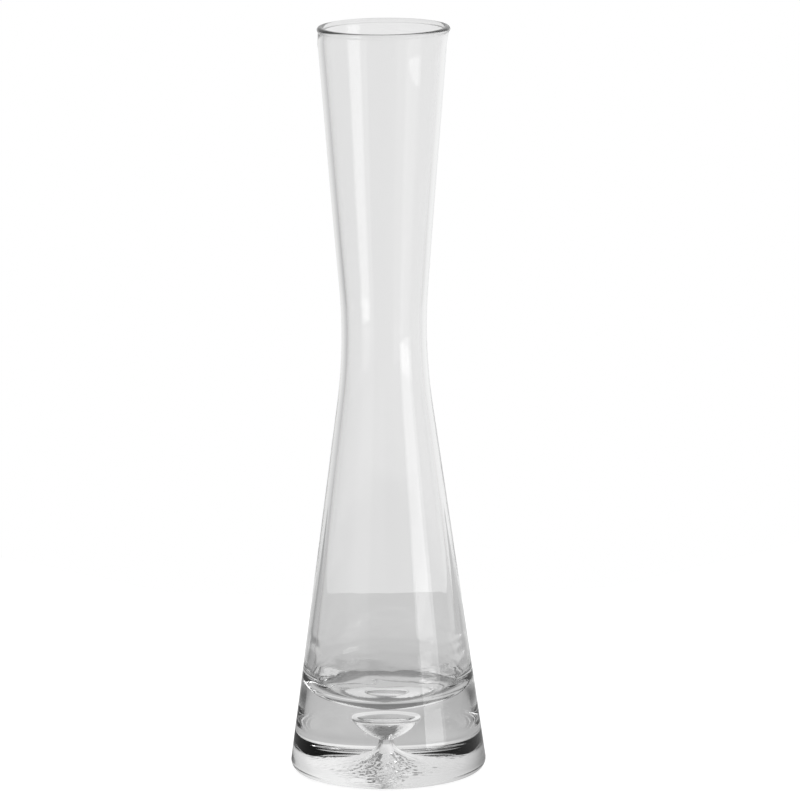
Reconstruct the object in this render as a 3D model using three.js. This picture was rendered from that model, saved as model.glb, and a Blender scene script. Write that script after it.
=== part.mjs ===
// Bud vase in clear blown glass: a flared mouth, a narrow waist, a wide lower chamber and a heavy solid base
// that holds an air trap. Millimetres, +Z up, origin at the centre of the face that the vase stands on.
import * as THREE from "three";

// Outer form
const BASE_RADIUS = 32.4; // widest place, just above the rounded bottom edge
const FOOT_ROUND = 5.0; // radius of the rounded bottom edge
const WAIST_HEIGHT = 148; // from the bottom to the narrowest place
const WAIST_RADIUS = 14.06; // outside
const WAIST_CURVE = 176; // radius of the long curve that joins the two cones
const NECK_HEIGHT = 100.8; // from the narrowest place to the top of the lip
const MOUTH_RADIUS = 19.5; // inside the lip

// Wall and lip
const WALL = 2.0; // from the lip to the waist
const WALL_AT_FLOOR = 3.0; // the wall thickens towards the bottom of the chamber
const LIP_PROUD = 0.55; // how far the fire-polished lip stands out from the wall
const LIP_ROUND = 0.8; // radius of the lip's two polished edges

// Air trap: dish, bell, pinched throat and bubble, from the bottom up
const DISH_RADIUS = 26.0; // where the dished underside meets the flat resting ring
const BELL_CURVE = 5.5; // radius of the flare from the throat down into the dish
const THROAT_HEIGHT = 10.6;
const THROAT_RADIUS = 1.65;
const THROAT_ROUND = 0.6; // radius of the pinched edge between the bell and the bubble
const BUBBLE_HEIGHT = 9.2; // from the throat to the top of the bubble's crown
const BUBBLE_RADIUS = 7.8;
const BUBBLE_CURVE = 12.7; // radius of the bowl-shaped side, in section
const BUBBLE_CROWN = 22.0; // radius of the low dome over the bubble, in section
const BUBBLE_SHOULDER = 1.5; // radius between the bubble's crown and its side

// Chamber
const FLOOR_THICKNESS = 6.0; // glass between the bubble and the chamber
const FLOOR_ROUND = 8.0; // radius between the chamber's floor and its wall

// Facets
const SEGMENTS = 48; // around the axis
const ARC_STEP = THREE.MathUtils.degToRad(16); // along a round stretch of the profile
const WAIST_STEPS = 8; // along the long curve of the waist
const BUBBLE_STEPS = 6; // along the bubble's side
const CROWN_STEPS = 4; // along the bubble's crown, from the axis outwards
const DISH_STEPS = 5; // along the dished underside

// Glass colour
const CLEAR_GLASS = 0xf1f4f3;

const HALF_TURN = Math.PI;
const UP = HALF_TURN / 2;
const DOWN = -UP;

// Profile points are (radius, height).
const point = (radius, height) => new THREE.Vector2(radius, height);

// The point at an angle on a circle, where 0 points away from the axis and a quarter turn points up.
const onCircle = (centre, radius, angle) =>
  point(centre.x + radius * Math.cos(angle), centre.y + radius * Math.sin(angle));

// The angle in which one point lies from another.
const heading = (from, to) => Math.atan2(to.y - from.y, to.x - from.x);

// How many facets a round stretch between two angles takes.
const arcSteps = (from, to) => Math.max(2, Math.ceil(Math.abs(to - from) / ARC_STEP));

// Points on an arc from one angle to another, both ends included.
function arc(centre, radius, from, to, steps = arcSteps(from, to)) {
  const points = [];
  for (let i = 0; i <= steps; i++) {
    points.push(onCircle(centre, radius, from + ((to - from) * i) / steps));
  }
  return points;
}

// The angle of the outward normal of a straight line that touches two circles. A circle with a positive
// radius lies on the axis side of the line, and one with a negative radius on its outer side. Turn, +1 or -1,
// picks one of the two such lines.
function tangentNormal(first, firstRadius, second, secondRadius, turn) {
  const opening = Math.acos((firstRadius - secondRadius) / first.distanceTo(second));
  return heading(first, second) + turn * opening;
}

// The point at given distances from two others, on the left as seen on the way from the first to the second.
function meetingPoint(first, firstDistance, second, secondDistance) {
  const apart = first.distanceTo(second);
  const cosine = (apart ** 2 + firstDistance ** 2 - secondDistance ** 2) / (2 * apart * firstDistance);
  return onCircle(first, firstDistance, heading(first, second) + Math.acos(cosine));
}

// The waist's long curve has its centre outside the glass, and the inner and outer walls share that centre.
const waistCentre = point(WAIST_RADIUS + WAIST_CURVE, WAIST_HEIGHT);
const innerWaistCurve = WAIST_CURVE + WALL;

// Lower cone, outside: from the rounded bottom edge up to the waist
const footCentre = point(BASE_RADIUS - FOOT_ROUND, FOOT_ROUND);
const lowerNormal = tangentNormal(footCentre, FOOT_ROUND, waistCentre, -WAIST_CURVE, -1);
const lowerOutward = onCircle(point(0, 0), 1, lowerNormal);
const lowerOffset = lowerOutward.dot(footCentre) + FOOT_ROUND;

// Radius of the lower cone at a height, a given depth inside the outer surface
const lowerConeRadius = (height, depth) => (lowerOffset - depth - lowerOutward.y * height) / lowerOutward.x;

// Air trap: the bubble's widest ring lies in the seam of the two gathers.
const bubbleTop = THROAT_HEIGHT + BUBBLE_HEIGHT;
const crownCentre = point(0, bubbleTop - BUBBLE_CROWN);
const shoulderRadius = BUBBLE_RADIUS - BUBBLE_SHOULDER;
const seamHeight = crownCentre.y + Math.sqrt((BUBBLE_CROWN - BUBBLE_SHOULDER) ** 2 - shoulderRadius ** 2);
const shoulderCentre = point(shoulderRadius, seamHeight);
const crownEdge = heading(crownCentre, shoulderCentre);
const bubbleRing = point(BUBBLE_RADIUS, seamHeight);
const seamEdge = point(lowerConeRadius(seamHeight, 0), seamHeight);
const throatCentre = point(THROAT_RADIUS + THROAT_ROUND, THROAT_HEIGHT);
const bowlCentre = meetingPoint(throatCentre, BUBBLE_CURVE + THROAT_ROUND, bubbleRing, BUBBLE_CURVE);

// Underside: the bell flares from the throat into a dish that touches both the bell and the table.
const bellCentre = point(THROAT_RADIUS + BELL_CURVE, THROAT_HEIGHT);
const dishReach = DISH_RADIUS - bellCentre.x;
const dishCurve =
  (dishReach ** 2 + bellCentre.y ** 2 - BELL_CURVE ** 2) / (2 * (bellCentre.y - BELL_CURVE));
const dishCentre = point(DISH_RADIUS, dishCurve);
const bellMouth = heading(dishCentre, bellCentre);

// Lower cone, inside: from the rounded corner of the chamber's floor up to the waist
const floorHeight = bubbleTop + FLOOR_THICKNESS;
const cornerHeight = floorHeight + FLOOR_ROUND;
const cornerCentre = point(lowerConeRadius(cornerHeight, WALL_AT_FLOOR + FLOOR_ROUND), cornerHeight);
const innerLowerNormal = tangentNormal(cornerCentre, FLOOR_ROUND, waistCentre, -innerWaistCurve, -1);

// Upper cone: its walls are parallel. The lip is flat on top, flush with the inner wall and proud of the outer.
const lipHeight = WAIST_HEIGHT + NECK_HEIGHT - LIP_ROUND;
const innerLipCentre = point(MOUTH_RADIUS + LIP_ROUND, lipHeight);
const outerLipCentre = point(MOUTH_RADIUS + WALL + LIP_PROUD - LIP_ROUND, lipHeight);
const upperNormal = tangentNormal(innerLipCentre, -LIP_ROUND, waistCentre, -innerWaistCurve, 1);
const lipWidth = outerLipCentre.distanceTo(innerLipCentre) * Math.cos(upperNormal);
const outerLipStart = upperNormal - Math.acos((WALL - LIP_ROUND - lipWidth) / LIP_ROUND);

// Angles on the waist's curve and on the lip's edges where the straight walls leave them
const lowerWaist = lowerNormal + HALF_TURN;
const innerLowerWaist = innerLowerNormal + HALF_TURN;
const upperWaist = upperNormal + HALF_TURN;

// Vessel: the bubble's ceiling and the seam, the outside up to the lip, over it, and the inside down
function vesselProfile() {
  return [
    point(0, bubbleTop),
    ...arc(crownCentre, BUBBLE_CROWN, UP, crownEdge, CROWN_STEPS).slice(1),
    ...arc(shoulderCentre, BUBBLE_SHOULDER, crownEdge, 0),
    seamEdge,
    ...arc(waistCentre, WAIST_CURVE, lowerWaist, upperWaist, WAIST_STEPS),
    ...arc(outerLipCentre, LIP_ROUND, outerLipStart, UP),
    ...arc(innerLipCentre, LIP_ROUND, UP, upperWaist),
    ...arc(waistCentre, innerWaistCurve, upperWaist, innerLowerWaist, WAIST_STEPS),
    ...arc(cornerCentre, FLOOR_ROUND, innerLowerNormal, DOWN),
    point(0, floorHeight),
  ];
}

// Base: the bubble's bowl, the throat, the bell and the dish going down, the resting ring, and the outside up
// to the seam. The profile closes on itself, because the air trap opens right through the middle.
function baseProfile() {
  const bowlTop = heading(bowlCentre, bubbleRing);
  const bowlFoot = heading(bowlCentre, throatCentre);
  return [
    ...arc(bowlCentre, BUBBLE_CURVE, bowlTop, bowlFoot, BUBBLE_STEPS),
    ...arc(throatCentre, THROAT_ROUND, heading(throatCentre, bowlCentre), HALF_TURN),
    ...arc(bellCentre, BELL_CURVE, HALF_TURN, bellMouth + 2 * HALF_TURN),
    ...arc(dishCentre, dishCurve, bellMouth, DOWN, DISH_STEPS),
    ...arc(footCentre, FOOT_ROUND, DOWN, lowerNormal),
    seamEdge,
    bubbleRing,
  ];
}

// A profile turned about the vertical axis, as a named mesh in its own clear glass
function blownGlass(name, profile) {
  const geometry = new THREE.LatheGeometry(profile, SEGMENTS);
  geometry.rotateX(UP);
  const material = new THREE.MeshStandardMaterial({
    color: CLEAR_GLASS,
    roughness: 0.02,
    metalness: 0,
    transparent: true,
    opacity: 0.35,
  });
  const mesh = new THREE.Mesh(geometry, material);
  mesh.name = name;
  return mesh;
}

const budVase = new THREE.Group();
budVase.add(blownGlass("vessel", vesselProfile()), blownGlass("base", baseProfile()));

export default budVase;
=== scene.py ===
"""Bud vase in clear blown glass, with an air trap in its heavy base, on a plain pale table."""
import math

import bmesh
import bpy
from bpy.props import FloatProperty, FloatVectorProperty, IntProperty, PointerProperty
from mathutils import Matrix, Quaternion, Vector


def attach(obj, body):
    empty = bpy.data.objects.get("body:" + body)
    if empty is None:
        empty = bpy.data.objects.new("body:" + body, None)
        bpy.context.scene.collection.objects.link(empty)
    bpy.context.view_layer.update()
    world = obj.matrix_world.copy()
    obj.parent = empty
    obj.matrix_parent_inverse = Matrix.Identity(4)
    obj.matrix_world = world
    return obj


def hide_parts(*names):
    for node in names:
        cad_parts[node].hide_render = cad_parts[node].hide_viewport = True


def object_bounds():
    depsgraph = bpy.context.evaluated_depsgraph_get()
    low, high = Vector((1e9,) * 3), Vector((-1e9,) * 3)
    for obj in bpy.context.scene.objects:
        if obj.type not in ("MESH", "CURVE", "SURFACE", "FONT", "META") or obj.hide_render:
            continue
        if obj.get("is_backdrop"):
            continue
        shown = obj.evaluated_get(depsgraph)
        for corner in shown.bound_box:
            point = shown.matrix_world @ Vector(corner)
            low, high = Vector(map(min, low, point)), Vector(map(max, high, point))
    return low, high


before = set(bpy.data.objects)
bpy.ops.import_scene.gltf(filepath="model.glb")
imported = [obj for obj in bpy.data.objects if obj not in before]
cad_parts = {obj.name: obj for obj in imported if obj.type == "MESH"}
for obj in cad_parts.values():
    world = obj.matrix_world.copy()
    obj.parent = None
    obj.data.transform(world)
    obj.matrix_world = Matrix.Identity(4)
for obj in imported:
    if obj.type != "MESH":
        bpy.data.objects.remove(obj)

bl_info = {
    "name": "Blown Glass Bud Vase",
    "version": (1, 0, 0),
    "blender": (4, 5, 0),
    "location": "3D View > Sidebar > Bud Vase",
    "description": "Blows a clear glass bud vase with an air trap in its base, and sets it on a lit table",
    "category": "Add Mesh",
}

CAD_LOW, CAD_HIGH = (Vector(corner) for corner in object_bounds())

MM = 0.001
MILLILITRE = 1e-6  # in cubic metres
HALF_TURN = math.pi
UP = HALF_TURN / 2
DOWN = -UP
DEGREE = HALF_TURN / 180
BOUNCES = 10  # of light, which the base needs to look clear

# What the points of the glass profile carry besides their place
UNEVENNESS = ("crumple", "wrinkle", "ripple", "lean", "stray", "polish")


def length(name, description, millimetres):
    """A property for a size in metres, given in millimetres."""
    return FloatProperty(
        name=name, description=description, default=millimetres * MM, min=0.0, precision=5, unit="LENGTH"
    )


def number(name, description, default):
    """A property for a plain number."""
    return FloatProperty(name=name, description=description, default=default, precision=3)


def angle(name, description, degrees):
    """A property for an angle, given in degrees."""
    return FloatProperty(
        name=name, description=description, default=math.radians(degrees), precision=3, subtype="ANGLE"
    )


class BUDVASE_PG_form(bpy.types.PropertyGroup):
    """The sizes of the glass. They are those of the solids in the frame, apart from three round edges: the
    foot, the lip and the corner of the chamber's floor"""

    height: length("Height", "From the table to the top of the lip", CAD_HIGH.z / MM)
    base_radius: length("Base Radius", "The widest place, just above the rounded bottom edge", 32.4)
    foot_round: length("Foot Round", "Radius of the rounded bottom edge", 3.2)
    waist_height: length("Waist Height", "From the table to the narrowest place", 148.0)
    waist_radius: length("Waist Radius", "Outside radius of the narrowest place", 14.06)
    waist_curve: length("Waist Curve", "Radius of the long curve that joins the two cones", 176.0)
    mouth_radius: length("Mouth Radius", "Radius inside the lip", 19.5)
    wall: length("Wall", "Thickness from the lip to the waist", 2.0)
    wall_at_floor: length("Wall at Floor", "Thickness at the bottom of the chamber", 3.0)
    lip_proud: length("Lip Proud", "How far the fire-polished lip stands out from the wall", 0.3)
    lip_round: length("Lip Round", "Radius of the lip's two polished edges", 0.95)
    dish_radius: length("Dish Radius", "Where the dished underside meets the resting ring", 26.0)
    bell_curve: length("Bell Curve", "Radius of the flare from the throat into the dish, in section", 5.5)
    throat_height: length("Throat Height", "From the table to the pinched throat", 10.6)
    throat_radius: length("Throat Radius", "Radius of the pinched throat", 1.65)
    throat_round: length("Throat Round", "Radius of the edge between bell and bubble", 0.6)
    bubble_height: length("Bubble Height", "From the throat to the top of the bubble's crown", 9.2)
    bubble_radius: length("Bubble Radius", "Radius of the bubble at its widest", 7.8)
    bubble_curve: length("Bubble Curve", "Radius of the bowl-shaped side, in section", 12.7)
    bubble_crown: length("Bubble Crown", "Radius of the low dome on top of the bubble", 22.0)
    bubble_shoulder: length("Bubble Shoulder", "Radius between the crown and the bowl", 1.5)
    floor_thickness: length("Floor Thickness", "Glass between the bubble and the chamber", 6.0)
    floor_round: length("Floor Round", "Radius between the floor of the chamber and its wall", 9.0)


class BUDVASE_PG_handwork(bpy.types.PropertyGroup):
    """How finely the glass is drawn, and the unevenness that blowing and tooling leave in it"""

    segments: IntProperty(name="Segments", description="Steps around the axis", default=160, min=24)
    floor_tilt: angle("Floor Tilt", "How far the chamber's floor leans to the front", 5.5)
    bubble_stray: length("Bubble Stray", "How far the air trap sits to the left of the axis", 0.45)
    lip_stray: length("Lip Stray", "How far the lip sits to the right of the axis", 0.8)
    crumple_height: length("Crumple Height", "How far the tool marks under the bell stand up", 0.17)
    crumple_size: length("Crumple Size", "Distance between tool marks under the bell", 1.2)
    wrinkle_height: length("Wrinkle Height", "How far the chill wrinkles low in the chamber stand up", 0.17)
    wrinkle_size: length("Wrinkle Size", "Distance between chill wrinkles, one above the other", 3.0)
    wrinkle_length: number("Wrinkle Length", "How many times longer than high a chill wrinkle is", 3.3)
    ripple_height: length("Ripple Height", "How far the chamber's inside swells", 0.05)
    ripple_size: length("Ripple Size", "Distance between swellings of the chamber's inside", 9.0)
    seed: IntProperty(name="Seed", description="Picks the pattern of the unevenness", default=3)


class BUDVASE_PG_glass(bpy.types.PropertyGroup):
    """The finish of the glass"""

    tint: FloatVectorProperty(
        name="Tint",
        description="Colour of the light that the glass lets through",
        default=(0.99, 0.99, 0.99),
        subtype="COLOR",
        min=0.0,
        max=1.0,
    )
    refraction: number("Index of Refraction", "How strongly the glass bends light", 1.5)
    haze: number("Haze", "Roughness of the smears that handling leaves on the glass", 0.02)
    bell_haze: number("Bell Haze", "Roughness of the tool marks under the bell", 0.03)
    lip_haze: number("Lip Haze", "Roughness of the fire-polished lip", 0.14)


class BUDVASE_PG_stage(bpy.types.PropertyGroup):
    """The table, the light and the camera"""

    table_back: length("Table Back", "From the axis of the vase to the far edge of the table", 250.0)
    table_side: length("Table Side", "From the axis to the sides and the front of the table", 300.0)
    table_gap: length("Table Gap", "Air under the resting ring, which keeps the two surfaces apart", 0.2)
    table_glow: number("Table Glow", "Brightness that the camera sees on the table before the light", 0.85)
    table_paint: number("Table Paint", "Share of the light that the table throws back to the camera", 0.5)
    table_far: number("Table Far", "Brightness of the table at its far edge", 0.66)
    table_near: number("Table Near", "Brightness of the table beside the vase", 0.55)
    table_left: number("Table Left", "Brightness of the table to the left and in front", 0.2)
    table_right: number("Table Right", "Brightness of the table to the right", 0.42)
    rim_front: number("Rim Front", "Brightness of the table at its front edge", 0.3)
    rim_side: number("Rim Side", "Brightness of the table at its side edges", 0.5)
    table_shade: number("Table Shade", "Brightness of the table in the vase's own shade", 0.21)
    table_dip: number("Table Dip", "How much darker the table is close behind the vase on the left", 0.09)
    shade_radius: length("Shade Radius", "From the axis to where the vase's own shade begins to fade", 24.0)
    shade_fade: length("Shade Fade", "Width over which the vase's own shade fades", 4.0)
    panel_top: number("Panel Top", "Brightness of the light panel from a hand's breadth up", 1.8)
    panel_middle: number("Panel Middle", "How much brighter the light panel is below that", 0.9)
    card_glow: number("Card Glow", "Brightness of the low card of light beside the table", 4.2)
    lid_tone: number("Lid Tone", "Brightness of the lid over the low card", 0.3)
    left_glow: number("Left Glow", "Brightness of the pale surface low on the left", 0.45)
    right_glow: number("Right Glow", "Brightness of the pale surface low on the right", 0.45)
    left_sheen: number("Left Sheen", "Brightness of the wall above the pale surface on the left", 0.25)
    overhead: number("Overhead", "Brightness of the ceiling straight overhead", 0.75)
    camera_distance: length("Camera Distance", "From the axis of the vase, along the table", 2000.0)
    camera_height: length("Camera Height", "Above the table", 516.2)
    camera_aim: FloatVectorProperty(
        name="Camera Aim",
        description="The place that the camera looks at",
        default=(0.005, 0.0, 0.1246),
        precision=5,
        subtype="TRANSLATION",
        unit="LENGTH",
    )
    camera_roll: angle("Camera Roll", "How far the camera leans", 0.56)
    focal_length: FloatProperty(
        name="Focal Length", description="Of the camera's lens", default=278.1, subtype="DISTANCE_CAMERA"
    )


class Wire:
    """A node socket that takes part in Python arithmetic. Each operator adds a Math node to its tree."""

    def __init__(self, graph, socket):
        self.graph = graph
        self.socket = socket

    def maths(self, operation, *values):
        return self.graph.add("ShaderNodeMath", {"operation": operation}, dict(enumerate(values)))

    def __add__(self, other):
        return self.maths("ADD", self, other)

    def __radd__(self, other):
        return self.maths("ADD", other, self)

    def __sub__(self, other):
        return self.maths("SUBTRACT", self, other)

    def __rsub__(self, other):
        return self.maths("SUBTRACT", other, self)

    def __mul__(self, other):
        return self.maths("MULTIPLY", self, other)

    def __rmul__(self, other):
        return self.maths("MULTIPLY", other, self)

    def __truediv__(self, other):
        return self.maths("DIVIDE", self, other)

    def __rtruediv__(self, other):
        return self.maths("DIVIDE", other, self)

    def out(self, name):
        """Another output of the same node."""
        return Wire(self.graph, self.socket.node.outputs[name])


class Graph:
    """A node tree that is built from Python, node by node."""

    def __init__(self, tree):
        self.tree = tree
        tree.nodes.clear()

    def add(self, kind, settings=None, sockets=None):
        """Adds a node of any kind, and returns its first output. Settings are set before the sockets are."""
        node = self.tree.nodes.new(kind)
        for name, value in (settings or {}).items():
            if name == "stops":
                self.set_stops(node.color_ramp, value)
            else:
                setattr(node, name, value)
        for key, value in (sockets or {}).items():
            if isinstance(value, Wire):
                self.tree.links.new(value.socket, node.inputs[key])
            else:
                node.inputs[key].default_value = value
        shown = [socket for socket in node.outputs if socket.enabled]
        return Wire(self, shown[0]) if shown else None

    @staticmethod
    def set_stops(ramp, stops):
        """Gives a ramp its grey stops, as pairs of position and brightness."""
        while len(ramp.elements) < len(stops):
            ramp.elements.new(1.0)
        for element, (position, brightness) in zip(ramp.elements, stops):
            element.position = position
            element.color = (brightness, brightness, brightness, 1.0)

    def step(self, value, start, end):
        """A soft step of a value, from 0 at start to 1 at end."""
        settings = {"interpolation_type": "SMOOTHSTEP"}
        return self.add("ShaderNodeMapRange", settings, {"Value": value, "From Min": start, "From Max": end})


# The profile of the glass, in (radius, height)

FINEST = 0.28 * MM  # distances between the points of a stretch
FINE = 0.4 * MM
MIDDLING = 0.7 * MM
COARSE = 3.0 * MM
LARGEST_TURN = 0.14  # between neighbouring points of an arc, in radians
FEWEST_STEPS = 3  # on an arc
SAME_POINT = 1e-7  # points closer than this, in metres, are one


def on_circle(centre, radius, bearing):
    """The point at a bearing on a circle, where 0 points away from the axis and a quarter turn points up."""
    return centre + radius * Vector((math.cos(bearing), math.sin(bearing)))


def heading(start, end):
    """The bearing in which one point lies from another."""
    return math.atan2(end.y - start.y, end.x - start.x)


def tangent_normal(first, first_radius, second, second_radius, turn):
    """The bearing of the outward normal of a straight line that touches two circles. A circle with a negative
    radius lies on the outer side of the line. Turn, +1 or -1, picks one of the two such lines."""
    opening = math.acos((first_radius - second_radius) / (second - first).length)
    return heading(first, second) + turn * opening


def meeting_point(first, first_distance, second, second_distance):
    """The point at given distances from two others, on the left on the way from the first to the second."""
    apart = (second - first).length
    cosine = (apart**2 + first_distance**2 - second_distance**2) / (2 * apart * first_distance)
    return on_circle(first, first_distance, heading(first, second) + math.acos(cosine))


def arc(centre, radius, start, end, spacing):
    """Points on an arc between two bearings, both ends included, about evenly spaced."""
    turn = end - start
    steps = max(FEWEST_STEPS, math.ceil(abs(turn) * radius / spacing), math.ceil(abs(turn) / LARGEST_TURN))
    return [on_circle(centre, radius, start + turn * i / steps) for i in range(steps + 1)]


def line(start, end, spacing):
    """Points on a straight line, both ends included, about evenly spaced."""
    steps = max(1, math.ceil((end - start).length / spacing))
    return [start.lerp(end, i / steps) for i in range(steps + 1)]


def glass_profile(form):
    """The whole section of the glass as stretches of points, by the name of the place that each one shapes.
    It starts at the axis in the bubble's ceiling, goes down through the air trap, out under the foot, up the
    outside, over the lip and down the inside, and ends at the axis on the chamber's floor."""
    waist_centre = Vector((form.waist_radius + form.waist_curve, form.waist_height))
    inner_waist_curve = form.waist_curve + form.wall

    foot_centre = Vector((form.base_radius - form.foot_round, form.foot_round))
    lower_normal = tangent_normal(foot_centre, form.foot_round, waist_centre, -form.waist_curve, -1)
    lower_outward = on_circle(Vector((0, 0)), 1, lower_normal)
    lower_offset = lower_outward.dot(foot_centre) + form.foot_round

    bubble_top = form.throat_height + form.bubble_height
    crown_centre = Vector((0.0, bubble_top - form.bubble_crown))
    shoulder_radius = form.bubble_radius - form.bubble_shoulder
    shoulder_rise = math.sqrt((form.bubble_crown - form.bubble_shoulder) ** 2 - shoulder_radius**2)
    seam_height = crown_centre.y + shoulder_rise
    bubble_ring = Vector((form.bubble_radius, seam_height))
    shoulder_centre = Vector((shoulder_radius, seam_height))
    throat_centre = Vector((form.throat_radius + form.throat_round, form.throat_height))
    bowl_distance = form.bubble_curve + form.throat_round
    bowl_centre = meeting_point(throat_centre, bowl_distance, bubble_ring, form.bubble_curve)

    # The bell leaves the throat upright, and the dish lies flat where it meets the resting ring
    bell_centre = Vector((form.throat_radius + form.bell_curve, form.throat_height))
    bell_inset = form.dish_radius - bell_centre.x
    bell_rise = bell_centre.y - form.bell_curve
    dish_curve = (bell_inset**2 + bell_centre.y**2 - form.bell_curve**2) / (2 * bell_rise)
    dish_centre = Vector((form.dish_radius, dish_curve))
    bell_mouth = heading(dish_centre, bell_centre)

    floor_height = bubble_top + form.floor_thickness
    corner_height = floor_height + form.floor_round
    corner_depth = form.wall_at_floor + form.floor_round
    corner_radius = (lower_offset - corner_depth - lower_outward.y * corner_height) / lower_outward.x
    corner_centre = Vector((corner_radius, corner_height))
    inner_lower_normal = tangent_normal(corner_centre, form.floor_round, waist_centre, -inner_waist_curve, -1)

    inner_lip_radius = form.mouth_radius + form.lip_round
    outer_lip_radius = form.mouth_radius + form.wall + form.lip_proud - form.lip_round
    inner_lip = Vector((inner_lip_radius, form.height - form.lip_round))
    outer_lip = Vector((outer_lip_radius, form.height - form.lip_round))
    upper_normal = tangent_normal(inner_lip, -form.lip_round, waist_centre, -inner_waist_curve, 1)
    lip_width = (outer_lip_radius - inner_lip_radius) * math.cos(upper_normal)
    outer_lip_start = upper_normal - math.acos((form.wall - form.lip_round - lip_width) / form.lip_round)
    upper_waist = upper_normal + HALF_TURN

    crown_edge = heading(crown_centre, shoulder_centre)
    bowl_top = heading(bowl_centre, bubble_ring)
    bowl_foot = heading(bowl_centre, throat_centre)
    throat_top = heading(throat_centre, bowl_centre)
    ring_start = Vector((form.dish_radius, 0.0))
    ring_end = Vector((foot_centre.x, 0.0))
    lower_start = on_circle(foot_centre, form.foot_round, lower_normal)
    lower_end = on_circle(waist_centre, form.waist_curve, lower_normal + HALF_TURN)
    upper_start = on_circle(waist_centre, form.waist_curve, upper_waist)
    upper_end = on_circle(outer_lip, form.lip_round, outer_lip_start)
    inside_start = on_circle(inner_lip, form.lip_round, upper_waist)
    inside_waist = on_circle(waist_centre, inner_waist_curve, upper_waist)
    inside_lower = on_circle(waist_centre, inner_waist_curve, inner_lower_normal + HALF_TURN)
    corner_top = on_circle(corner_centre, form.floor_round, inner_lower_normal)
    floor_edge = Vector((corner_radius, floor_height))
    floor_middle = Vector((0.0, floor_height))

    # Just under the lip the points lie close, so that the crease there stays narrow
    under_lip = upper_end + (upper_start - upper_end).normalized() * form.lip_round
    lower_waist = lower_normal + HALF_TURN
    inner_lower_waist = inner_lower_normal + HALF_TURN
    return [
        ("bubble", arc(crown_centre, form.bubble_crown, UP, crown_edge, MIDDLING)),
        ("bubble", arc(shoulder_centre, form.bubble_shoulder, crown_edge, 0.0, FINE)),
        ("bubble", arc(bowl_centre, form.bubble_curve, bowl_top, bowl_foot, FINE)),
        ("throat", arc(throat_centre, form.throat_round, throat_top, HALF_TURN, FINE)),
        ("bell", arc(bell_centre, form.bell_curve, HALF_TURN, bell_mouth + 2 * HALF_TURN, FINEST)),
        ("dish", arc(dish_centre, dish_curve, bell_mouth, DOWN, FINE)),
        ("foot", line(ring_start, ring_end, COARSE)),
        ("foot", arc(foot_centre, form.foot_round, DOWN, lower_normal, FINE)),
        ("outside", line(lower_start, lower_end, COARSE)),
        ("outside", arc(waist_centre, form.waist_curve, lower_waist, upper_waist, COARSE)),
        ("outside", line(upper_start, under_lip, COARSE)),
        ("outside", line(under_lip, upper_end, FINEST)),
        ("lip", arc(outer_lip, form.lip_round, outer_lip_start, UP, FINE)),
        ("lip", arc(inner_lip, form.lip_round, UP, upper_waist, FINE)),
        ("inside", line(inside_start, inside_waist, COARSE)),
        ("inside", arc(waist_centre, inner_waist_curve, upper_waist, inner_lower_waist, COARSE)),
        ("inside", line(inside_lower, corner_top, MIDDLING)),
        ("floor", arc(corner_centre, form.floor_round, inner_lower_normal, DOWN, MIDDLING)),
        ("floor", line(floor_edge, floor_middle, MIDDLING)),
    ]


# Where each kind of unevenness fades in: first the place where there is none, then where it is whole

TOOLED_FROM = (3.2 * MM, 5.0 * MM)  # from the axis, as the throat is smooth
TOOLED_TO = (21.0 * MM, 14.5 * MM)  # from the axis, as the rim of the dish is smooth
TOOLED_DEEPER = (5.0 * MM, 9.0 * MM)  # from the axis
DEEPER_BY = 0.8  # share by which the tool marks grow there
TRAP_STRAYS = (24.0 * MM, 10.0 * MM)  # from the axis
CHAMBER_SWELLS = (60.0 * MM, 35.0 * MM)  # above the table
SWELLS_ABOVE = 0.3  # share of the swellings that is left higher up
FLOOR_LEANS = (75.0 * MM, 35.0 * MM)  # above the table
WRINKLES_TO = (51.0 * MM, 44.0 * MM)  # above the table
WRINKLES_FROM = (30.0 * MM, 37.0 * MM)  # above the table
NECK_STRAYS = (70.0 * MM, 8.0 * MM)  # below the top of the lip
NECK_SHARE = 0.4  # of the lip's stray
LIP_STRAYS = (5.5 * MM, 1.0 * MM)  # below the top of the lip


def fade(value, start, end):
    """A soft step of a number, from 0 at start to 1 at end."""
    share = min(1.0, max(0.0, (value - start) / (end - start)))
    return share * share * (3.0 - 2.0 * share)


def unevenness(place, spot, form, handwork):
    """How strong the tool marks, the wrinkles, the swellings and the lean of the floor are at a point of the
    profile, how far the point strays to the right, in metres, and whether it is on the polished lip."""
    crumple = wrinkle = ripple = lean = stray = polish = 0.0
    if place == "lip":
        polish = 1.0
    if place in ("bell", "dish"):
        crumple = fade(spot.x, *TOOLED_FROM) * fade(spot.x, *TOOLED_TO)
        crumple *= 1.0 + DEEPER_BY * fade(spot.x, *TOOLED_DEEPER)
    if place in ("bubble", "throat", "bell", "dish"):
        stray = -handwork.bubble_stray * fade(spot.x, *TRAP_STRAYS)
    if place in ("floor", "inside"):
        ripple = SWELLS_ABOVE + (1.0 - SWELLS_ABOVE) * fade(spot.y, *CHAMBER_SWELLS)
        lean = fade(spot.y, *FLOOR_LEANS)
        wrinkle = fade(spot.y, *WRINKLES_TO) * fade(spot.y, *WRINKLES_FROM)
    if place in ("outside", "lip", "inside"):
        below = form.height - spot.y
        share = NECK_SHARE * fade(below, *NECK_STRAYS) + (1.0 - NECK_SHARE) * fade(below, *LIP_STRAYS)
        stray = handwork.lip_stray * share
    return dict(zip(UNEVENNESS, (crumple, wrinkle, ripple, lean, stray, polish)))


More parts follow.
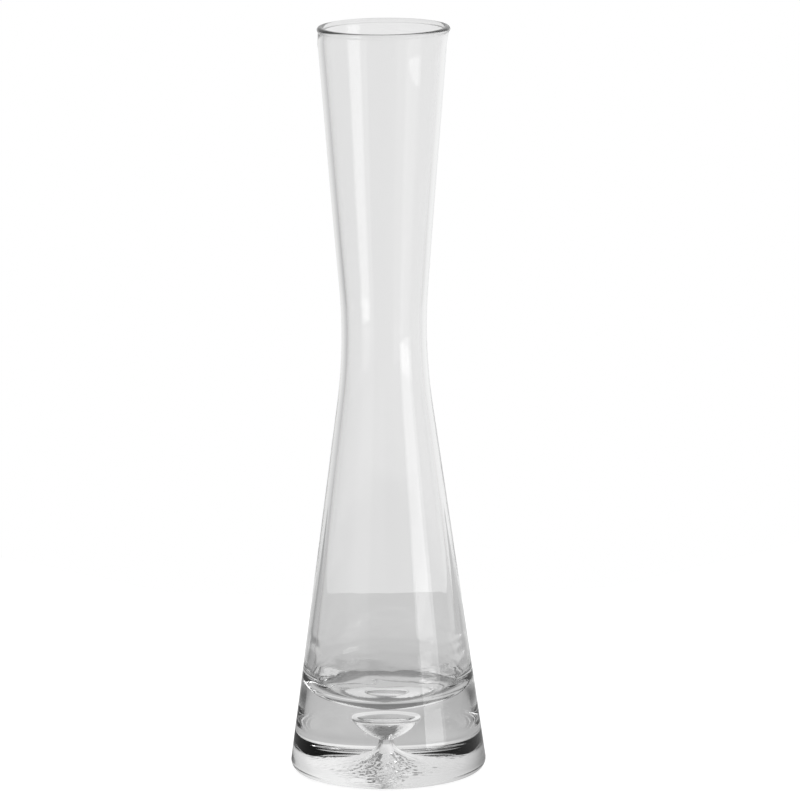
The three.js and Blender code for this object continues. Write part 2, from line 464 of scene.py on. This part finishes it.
def profile_mesh(form, handwork):
    """The profile as one open chain of vertices in the XZ plane, with the reach of its unevenness."""
    points, reaches = [], []
    for place, stretch in glass_profile(form):
        for spot in stretch:
            if points and (spot - points[-1]).length < SAME_POINT:
                continue
            points.append(spot)
            reaches.append(unevenness(place, spot, form, handwork))
    mesh = bpy.data.meshes.new("glass_profile")
    edges = [(i, i + 1) for i in range(len(points) - 1)]
    mesh.from_pydata([(spot.x, 0.0, spot.y) for spot in points], edges, [])
    for name in UNEVENNESS:
        weights = [reach[name] for reach in reaches]
        mesh.attributes.new(name, "FLOAT", "POINT").data.foreach_set("value", weights)
    return mesh


# The glass

TREE_INPUTS = (  # name, kind of socket, and the handwork setting that fills it
    ("Segments", "NodeSocketInt", "segments"),
    ("Floor Tilt", "NodeSocketFloat", "floor_tilt"),
    ("Crumple Height", "NodeSocketFloat", "crumple_height"),
    ("Crumple Size", "NodeSocketFloat", "crumple_size"),
    ("Wrinkle Height", "NodeSocketFloat", "wrinkle_height"),
    ("Wrinkle Size", "NodeSocketFloat", "wrinkle_size"),
    ("Wrinkle Length", "NodeSocketFloat", "wrinkle_length"),
    ("Ripple Height", "NodeSocketFloat", "ripple_height"),
    ("Ripple Size", "NodeSocketFloat", "ripple_size"),
    ("Seed", "NodeSocketInt", "seed"),
)
WELD = 1e-6  # points closer than this, in metres, are merged
SEED_SPACING = 1.7  # between the noise patterns of neighbouring seeds
PATCH_SIZE = 5.0  # of a patch of wrinkles, in wrinkles
PATCH_EDGE = (0.4, 0.56)  # noise where a patch of wrinkles begins and where it is whole


def blown_glass_tree(material):
    """Turns a profile about the vertical axis, closes it, and gives it the unevenness of hand-blown glass."""
    tree = bpy.data.node_groups.new("Blown Glass", "GeometryNodeTree")
    graph = Graph(tree)
    panel = tree.interface
    panel.new_socket("Geometry", in_out="INPUT", socket_type="NodeSocketGeometry")
    for name, kind, _ in TREE_INPUTS:
        panel.new_socket(name, in_out="INPUT", socket_type=kind)
    panel.new_socket("Geometry", in_out="OUTPUT", socket_type="NodeSocketGeometry")
    profile = graph.add("NodeGroupInput")
    seed = profile.out("Seed")

    # A grid with one row for each point of the profile and one column for each step round the axis
    rows = graph.add("GeometryNodeAttributeDomainSize", {"component": "MESH"}, {"Geometry": profile})
    columns = profile.out("Segments") + 1
    sockets = {"Size X": 1.0, "Size Y": 1.0, "Vertices X": rows, "Vertices Y": columns}
    grid = graph.add("GeometryNodeMeshGrid", None, sockets)
    place = graph.add("ShaderNodeSeparateXYZ", None, {"Vector": grid.out("UV Map")})
    row = place * (rows - 1)
    row = row.maths("ROUND", row)

    def of_profile(kind, value):
        """A value at the profile's point for each row."""
        settings = {"data_type": kind, "domain": "POINT"}
        sockets = {"Geometry": profile, "Value": value, "Index": row}
        return graph.add("GeometryNodeSampleIndex", settings, sockets)

    def weight_of(name):
        """A kind of unevenness at each point."""
        return graph.add("GeometryNodeInputNamedAttribute", {"data_type": "FLOAT"}, {"Name": name})

    spot = of_profile("FLOAT_VECTOR", graph.add("GeometryNodeInputPosition"))
    spot = graph.add("ShaderNodeSeparateXYZ", None, {"Vector": spot})
    turn = place.out("Y") * (2 * HALF_TURN)
    east = spot * turn.maths("COSINE", turn)
    north = spot * turn.maths("SINE", turn)
    round_spot = graph.add("ShaderNodeCombineXYZ", None, {"X": east, "Y": north, "Z": spot.out("Z")})
    glass = graph.add("GeometryNodeSetPosition", None, {"Geometry": grid, "Position": round_spot})
    for name in UNEVENNESS:
        settings = {"data_type": "FLOAT", "domain": "POINT"}
        sockets = {"Geometry": glass, "Name": name, "Value": of_profile("FLOAT", weight_of(name))}
        glass = graph.add("GeometryNodeStoreNamedAttribute", settings, sockets)
    glass = graph.add("GeometryNodeMergeByDistance", None, {"Geometry": glass, "Distance": WELD})
    glass = graph.add("GeometryNodeFlipFaces", None, {"Mesh": glass})

    here = graph.add("ShaderNodeSeparateXYZ", None, {"Vector": graph.add("GeometryNodeInputPosition")})

    def noise_of(size, stretch=1.0):
        """Noise of a size, drawn out level."""
        sockets = {"X": here / stretch, "Y": here.out("Y") / stretch, "Z": here.out("Z")}
        drawn = graph.add("ShaderNodeCombineXYZ", None, sockets)
        sockets = {"Vector": drawn, "W": seed * SEED_SPACING, "Scale": 1.0 / size, "Detail": 1.0}
        return graph.add("ShaderNodeTexNoise", {"noise_dimensions": "4D"}, sockets)

    # The floor of the chamber leans to the front, and the air trap and the lip sit a little to one side
    tilt = profile.out("Floor Tilt")
    lift = here.out("Y") * weight_of("lean") * tilt.maths("TANGENT", tilt)
    offset = graph.add("ShaderNodeCombineXYZ", None, {"X": weight_of("stray"), "Z": lift})
    glass = graph.add("GeometryNodeSetPosition", None, {"Geometry": glass, "Offset": offset})

    # Tool marks under the bell, patches of chill wrinkles low in the chamber, and swellings of its inside
    for name in ("Crumple", "Wrinkle", "Ripple"):
        weight = weight_of(name.lower())
        stretch = 1.0
        if name == "Wrinkle":
            weight = weight * graph.step(noise_of(profile.out("Wrinkle Size") * PATCH_SIZE), *PATCH_EDGE)
            stretch = profile.out("Wrinkle Length")
        noise = noise_of(profile.out(name + " Size"), stretch)
        lift = (noise - 0.5) * 2.0 * weight * profile.out(name + " Height")
        sockets = {"Vector": graph.add("GeometryNodeInputNormal"), "Scale": lift}
        offset = graph.add("ShaderNodeVectorMath", {"operation": "SCALE"}, sockets)
        glass = graph.add("GeometryNodeSetPosition", None, {"Geometry": glass, "Offset": offset})

    glass = graph.add("GeometryNodeSetShadeSmooth", None, {"Geometry": glass})
    glass = graph.add("GeometryNodeRealizeInstances", None, {"Geometry": glass})
    glass = graph.add("GeometryNodeSetMaterial", None, {"Geometry": glass, "Material": material})
    graph.add("NodeGroupOutput", None, {"Geometry": glass})
    return tree


SMEARS = 45.0  # of handling, per metre
SMEAR_DETAIL = 3.0
SMEAR_EDGE = (0.48, 0.68)  # noise where a smear begins and where it is whole


def clear_glass(finish):
    """Clear soda glass, a little dulled by handling, under the bell and on the lip."""
    material = bpy.data.materials.new("clear_glass")
    material.use_nodes = True
    graph = Graph(material.node_tree)
    crumple = graph.add("ShaderNodeAttribute", {"attribute_name": "crumple"}).out("Fac")
    polish = graph.add("ShaderNodeAttribute", {"attribute_name": "polish"}).out("Fac")
    place = graph.add("ShaderNodeTexCoord").out("Object")
    smear = graph.add("ShaderNodeTexNoise", None, {"Vector": place, "Scale": SMEARS, "Detail": SMEAR_DETAIL})
    haze = graph.step(smear, *SMEAR_EDGE) * finish.haze
    surface = graph.add(
        "ShaderNodeBsdfPrincipled",
        None,
        {
            "Base Color": (*finish.tint, 1.0),
            "Roughness": crumple * finish.bell_haze + polish * finish.lip_haze + haze,
            "IOR": finish.refraction,
            "Transmission Weight": 1.0,
        },
    )
    graph.add("ShaderNodeOutputMaterial", None, {"Surface": surface})
    return material


class BUDVASE_OT_blow_glass(bpy.types.Operator):
    """Blow the glass: vessel and base as one fused body, with the bubble, the throat and the bell in it"""

    bl_idname = "budvase.blow_glass"
    bl_label = "Blow the Glass"

    def execute(self, context):
        handwork = context.scene.budvase_handwork
        glass = bpy.data.objects.new("glass_body", profile_mesh(context.scene.budvase_form, handwork))
        context.collection.objects.link(glass)
        tree = blown_glass_tree(clear_glass(context.scene.budvase_glass))
        blower = glass.modifiers.new("Blown Glass", "NODES")
        blower.node_group = tree
        values = {name: getattr(handwork, setting) for name, _, setting in TREE_INPUTS}
        for item in tree.interface.items_tree:
            if item.name in values:
                blower[item.identifier] = values[item.name]
        shaped = glass.evaluated_get(context.evaluated_depsgraph_get())
        mesh = bpy.data.meshes.new_from_object(shaped)
        glass.modifiers.remove(blower)
        glass.data = mesh
        mesh.name = "glass_body"
        check_closed(mesh)
        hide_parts("vessel", "base")
        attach(glass, "root")
        return {"FINISHED"}


def check_closed(mesh):
    """Stops the script if a mesh isn't one closed surface that faces outwards."""
    shape = bmesh.new()
    shape.from_mesh(mesh)
    open_edges = [edge for edge in shape.edges if not edge.is_manifold]
    volume = shape.calc_volume(signed=True) / MILLILITRE
    shape.free()
    if open_edges or volume <= 0:
        raise RuntimeError(f"{mesh.name}: {len(open_edges)} open edges, volume {volume:.2f} ml")
    print(f"{mesh.name}: {len(mesh.vertices)} vertices, {len(mesh.polygons)} faces, {volume:.2f} ml")


# The stage

FAR_BEND = (0.28, 1.06)  # where the far edge bends, in shares of the table's side and of its back
FAR_CORNER = 1.9  # how far back its corners lie, in shares of the table's back

# Where the table's painted light and shade change: first the place where a tone begins, then where it is
# whole

NEAR_RISE = (65.0 * MM, 90.0 * MM)  # behind the axis
FAR_RISE = (140.0 * MM, 210.0 * MM)  # behind the axis
DIP_BEHIND = (64.0 * MM, 56.0 * MM)  # behind the axis
DIP_LEFT = (2.0 * MM, -4.0 * MM)  # to the right of the axis
RIGHT_HALF = (-20.0 * MM, 20.0 * MM)  # to the right of the axis
OPEN_TABLE = (34.0 * MM, 38.0 * MM)  # from the axis
RIM = (160.0 * MM, 300.0 * MM)  # from the axis
STRAIGHT_BEHIND = (34.0, 24.0)  # degrees from straight behind the vase, to either side
RIM_ASIDE = (30.0, 42.0)  # degrees from straight behind the vase, to either side
RIM_SIDES = (110.0, 50.0)  # degrees from straight behind the vase, to either side


def table_top(stage):
    """A pale table top. The camera sees it white under a soft shadow; to the glass it glows grey, with
    painted light and shade.
    """
    mesh = bpy.data.meshes.new("table_top")
    side, back = stage.table_side, stage.table_back
    bend_side, bend_back = FAR_BEND[0] * side, FAR_BEND[1] * back
    corner_back = FAR_CORNER * back
    corners = [(-side, -side), (side, -side), (side, corner_back), (bend_side, bend_back), (0.0, back)]
    corners += [(-bend_side, bend_back), (-side, corner_back)]
    faces = [(0, 1, 4), (1, 2, 3, 4), (0, 4, 5, 6)]
    mesh.from_pydata([(x, y, -stage.table_gap) for x, y in corners], [], faces)
    material = bpy.data.materials.new("pale_table")
    material.use_nodes = True
    graph = Graph(material.node_tree)
    place = graph.add("ShaderNodeTexCoord").out("Object")
    spot = graph.add("ShaderNodeSeparateXYZ", None, {"Vector": place})
    behind = spot.out("Y")
    across = spot.maths("ABSOLUTE", spot)
    bearing = spot.maths("ARCTAN2", across, behind) / DEGREE
    # Painted light and shade on the table, seen only through the glass: lighter towards the far edge, darker
    # close behind the vase on the left, darker to the sides, in front and towards the rim
    far = 0.5 * (graph.step(behind, *NEAR_RISE) + graph.step(behind, *FAR_RISE))
    dip = graph.step(spot, *DIP_LEFT) * graph.step(behind, *DIP_BEHIND) * stage.table_dip
    back_tone = stage.table_near - dip + far * (stage.table_far - stage.table_near)
    aside = stage.table_left + graph.step(spot, *RIGHT_HALF) * (stage.table_right - stage.table_left)
    open_tone = aside + graph.step(bearing, *STRAIGHT_BEHIND) * (back_tone - aside)
    radius = graph.add("ShaderNodeVectorMath", {"operation": "LENGTH"}, {"Vector": place}).out("Value")
    # Painted shadow of the vase on the table under its base, which only the glass sees; it fades out beyond
    # the shade radius
    clear = graph.step(radius, stage.shade_radius, stage.shade_radius + stage.shade_fade)
    foot_tone = stage.table_shade + clear * (stage.table_near - stage.table_shade)
    rim = graph.step(radius, *RIM) * graph.step(bearing, *RIM_ASIDE)
    rim_tone = stage.rim_front + graph.step(bearing, *RIM_SIDES) * (stage.rim_side - stage.rim_front)
    open_tone = open_tone + rim * (rim_tone - open_tone)
    tone = foot_tone + graph.step(radius, *OPEN_TABLE) * (open_tone - foot_tone)
    paint = stage.table_paint
    # To all but camera rays the table takes no light and glows with these painted tones
    seen_in_glass = graph.add("ShaderNodeEmission", None, {"Color": tone})
    glow = graph.add("ShaderNodeEmission", None, {"Strength": stage.table_glow})
    lit = graph.add("ShaderNodeBsdfDiffuse", None, {"Color": (paint, paint, paint, 1.0)})
    seen_directly = graph.add("ShaderNodeAddShader", None, {0: glow, 1: lit})
    camera_ray = graph.add("ShaderNodeLightPath")
    surface = graph.add("ShaderNodeMixShader", None, {0: camera_ray, 1: seen_in_glass, 2: seen_directly})
    graph.add("ShaderNodeOutputMaterial", None, {"Surface": surface})
    mesh.materials.append(material)
    return bpy.data.objects.new("table_top", mesh)


# Where the tones of the room change, in degrees: heights above the horizon, and bearings to the right from
# straight behind the vase. First comes the place where a tone begins, then where it is whole.

SKIRTING = (-12.1, -12.8)
SKIRTING_SHADE = 0.05
WALL_TOPS = (4.0, 9.0)
CEILING = (24.0, 30.0)
OVERHEAD = (40.0, 50.0)
LOW_FROM = (-26.0, -22.0)
LOW_TO = (-8.0, -12.0)
LEVEL_FROM = (-12.0, -8.0)
LEVEL_TO = (6.0, 4.0)
LEFT_FROM = (-108.0, -126.0)
LEFT_TO = (-151.5, -150.0)
RIGHT_FROM = (98.0, 112.0)
RIGHT_TO = (135.0, 132.0)


def studio_world(stage):
    """A pale backdrop behind the table, a dim room in front of it, and a pale surface low on either side. The
    camera sees white."""
    world = bpy.data.worlds.new("studio")
    world.use_nodes = True
    graph = Graph(world.node_tree)
    direction = graph.add("ShaderNodeTexCoord")
    direction = graph.add("ShaderNodeSeparateXYZ", None, {"Vector": direction})
    bearing = direction.maths("ARCTAN2", direction, direction.out("Y")) / DEGREE
    height = direction.maths("ARCSINE", direction.out("Z")) / DEGREE

    def by_bearing(*stops):
        """Brightness by bearing, in degrees to the right from straight behind the vase."""
        stops = [(degrees / 360 + 0.5, brightness) for degrees, brightness in stops]
        return graph.add("ShaderNodeValToRGB", {"stops": stops}, {"Fac": bearing / 360.0 + 0.5})

    # From the floor up past the horizon, from there to the tops of the walls, and the edge of the ceiling
    walls = by_bearing(
        (-180, 0.3), (-100, 0.35), (-60, 0.45), (-42, 0.56), (-30, 0.68), (-18, 0.81), (0, 0.865),
        (10, 0.89), (20, 0.92), (40, 0.84), (60, 0.7), (100, 0.5), (179, 0.3),
    )
    tops = by_bearing(
        (-180, 0.06), (-120, 0.06), (-68, 0.28), (-48, 0.55), (-34, 0.7), (0, 0.77), (18, 0.92),
        (36, 0.94), (48, 0.8), (78, 0.8), (92, 0.3), (110, 0.1), (179, 0.06),
    )
    ceiling = by_bearing(
        (-180, 0.25), (-150, 0.2), (-125, 0.3), (-108, 0.4), (-60, 0.4), (-46, 0.65), (-32, 0.72),
        (0, 0.8), (15, 0.92), (40, 0.92), (110, 0.75), (125, 0.2), (179, 0.2),
    )
    walls = walls - graph.step(height, *SKIRTING) * SKIRTING_SHADE
    surround = walls + graph.step(height, *WALL_TOPS) * (tops - walls)
    surround = surround + graph.step(height, *CEILING) * (ceiling - surround)
    surround = surround + graph.step(height, *OVERHEAD) * (stage.overhead - surround)
    low = graph.step(height, *LOW_FROM) * graph.step(height, *LOW_TO)
    level = graph.step(height, *LEVEL_FROM) * graph.step(height, *LEVEL_TO)
    left = graph.step(bearing, *LEFT_FROM) * graph.step(bearing, *LEFT_TO)
    right = graph.step(bearing, *RIGHT_FROM) * graph.step(bearing, *RIGHT_TO)
    room = surround + left * (low * stage.left_glow + level * stage.left_sheen)
    room = room + right * low * stage.right_glow
    camera_ray = graph.add("ShaderNodeLightPath")
    brightness = camera_ray + (1.0 - camera_ray) * room
    background = graph.add("ShaderNodeBackground", None, {"Color": brightness})
    graph.add("ShaderNodeOutputWorld", None, {"Surface": background})
    return world


# Corners of the lights to the right of the camera: bearing in degrees to the right from straight behind the
# vase, distance from the axis and height above the table in metres

LIGHT_PANEL = ((134.0, 0.78, 0.02), (105.0, 0.9, -0.015), (105.0, 0.9, 0.265), (134.0, 0.78, 0.265))
LOW_CARD = ((135.4, 0.28, 0.0133), (111.3, 0.28, 0.0065), (111.3, 0.28, 0.0207), (135.4, 0.28, 0.0275))
CARD_LID = ((139.0, 0.286, 0.029), (107.0, 0.286, 0.029), (107.0, 0.2, 0.029), (139.0, 0.2, 0.029))

# Where the tones of the lights change: first the place where a tone begins, then where it is whole

MIDDLE_TO = (95.0 * MM, 70.0 * MM)  # above the table
MIDDLE_FROM = (14.0 * MM, 22.0 * MM)  # above the table
LID_FROM = (27.8 * MM, 28.8 * MM)  # above the table
CARD_WITHIN = (650.0 * MM, 600.0 * MM)  # from the axis


def light_panel():
    """A tall panel of light that the outside of the glass mirrors as an upright band, and a low card of light
    near the vase that only its base mirrors, because a lid hides the card from above."""
    mesh = bpy.data.meshes.new("light_panel")
    spots, faces = [], []
    for corners in (LIGHT_PANEL, LOW_CARD, CARD_LID):
        faces.append(tuple(range(len(spots), len(spots) + len(corners))))
        for bearing, distance, height in corners:
            turn = bearing * DEGREE
            spots.append((distance * math.sin(turn), distance * math.cos(turn), height))
    mesh.from_pydata(spots, [], faces)
    return mesh


def panel_light(stage):
    """The glow of the panel, stronger low down, of the low card and of its lid. The camera sees none."""
    material = bpy.data.materials.new("panel_light")
    material.use_nodes = True
    graph = Graph(material.node_tree)
    place = graph.add("ShaderNodeTexCoord").out("Object")
    spot = graph.add("ShaderNodeSeparateXYZ", None, {"Vector": place})
    height = spot.out("Z")
    distance = graph.add("ShaderNodeVectorMath", {"operation": "LENGTH"}, {"Vector": place}).out("Value")
    middle = graph.step(height, *MIDDLE_FROM) * graph.step(height, *MIDDLE_TO)
    panel = stage.panel_top + middle * stage.panel_middle
    card = stage.card_glow + graph.step(height, *LID_FROM) * (stage.lid_tone - stage.card_glow)
    tone = panel + graph.step(distance, *CARD_WITHIN) * (card - panel)
    glow = graph.add("ShaderNodeEmission", None, {"Color": tone})
    nothing = graph.add("ShaderNodeBsdfTransparent")
    camera_ray = graph.add("ShaderNodeLightPath")
    surface = graph.add("ShaderNodeMixShader", None, {0: camera_ray, 1: glow, 2: nothing})
    graph.add("ShaderNodeOutputMaterial", None, {"Surface": surface})
    return material


def photo_camera(stage):
    """A long lens, a little above the vase, that frames it as the photograph does."""
    camera = bpy.data.objects.new("photo_camera", bpy.data.cameras.new("photo_camera"))
    camera.data.lens = stage.focal_length
    camera.location = (0.0, -stage.camera_distance, stage.camera_height)
    look = (Vector(stage.camera_aim) - camera.location).to_track_quat("-Z", "Y")
    camera.rotation_mode = "QUATERNION"
    camera.rotation_quaternion = look @ Quaternion((0.0, 0.0, 1.0), -stage.camera_roll)
    return camera


class BUDVASE_OT_set_stage(bpy.types.Operator):
    """Set the stage: a pale table top, a softly lit studio and the camera"""

    bl_idname = "budvase.set_stage"
    bl_label = "Set the Stage"

    def execute(self, context):
        scene = context.scene
        table = table_top(scene.budvase_stage)
        panel = bpy.data.objects.new("light_panel", light_panel())
        panel.data.materials.append(panel_light(scene.budvase_stage))
        camera = photo_camera(scene.budvase_stage)
        for thing in (table, panel, camera):
            context.collection.objects.link(thing)
        table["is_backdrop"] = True
        panel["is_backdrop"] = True
        scene.camera = camera
        scene.world = studio_world(scene.budvase_stage)
        scene.view_settings.view_transform = "Standard"
        scene.cycles.max_bounces = BOUNCES
        scene.cycles.transmission_bounces = BOUNCES
        scene.cycles.glossy_bounces = BOUNCES
        return {"FINISHED"}


class BUDVASE_PT_steps(bpy.types.Panel):
    """The steps that make the vase and its stage"""

    bl_idname = "BUDVASE_PT_steps"
    bl_label = "Bud Vase"
    bl_space_type = "VIEW_3D"
    bl_region_type = "UI"
    bl_category = "Bud Vase"

    def draw(self, context):
        for group in SETTINGS:
            settings = getattr(context.scene, group)
            box = self.layout.box()
            for name in settings.__annotations__:
                box.prop(settings, name)
        for step in STEPS:
            self.layout.operator(step.bl_idname)


SETTINGS = {
    "budvase_form": BUDVASE_PG_form,
    "budvase_handwork": BUDVASE_PG_handwork,
    "budvase_glass": BUDVASE_PG_glass,
    "budvase_stage": BUDVASE_PG_stage,
}
STEPS = (BUDVASE_OT_blow_glass, BUDVASE_OT_set_stage)


def register():
    for cls in (*SETTINGS.values(), *STEPS, BUDVASE_PT_steps):
        bpy.utils.register_class(cls)
    for name, group in SETTINGS.items():
        setattr(bpy.types.Scene, name, PointerProperty(type=group))


def unregister():
    for name in SETTINGS:
        delattr(bpy.types.Scene, name)
    for cls in (BUDVASE_PT_steps, *reversed(STEPS), *reversed(SETTINGS.values())):
        bpy.utils.unregister_class(cls)


def main():
    register()
    bpy.ops.budvase.blow_glass()
    bpy.ops.budvase.set_stage()


if __name__ == "__main__":
    main()
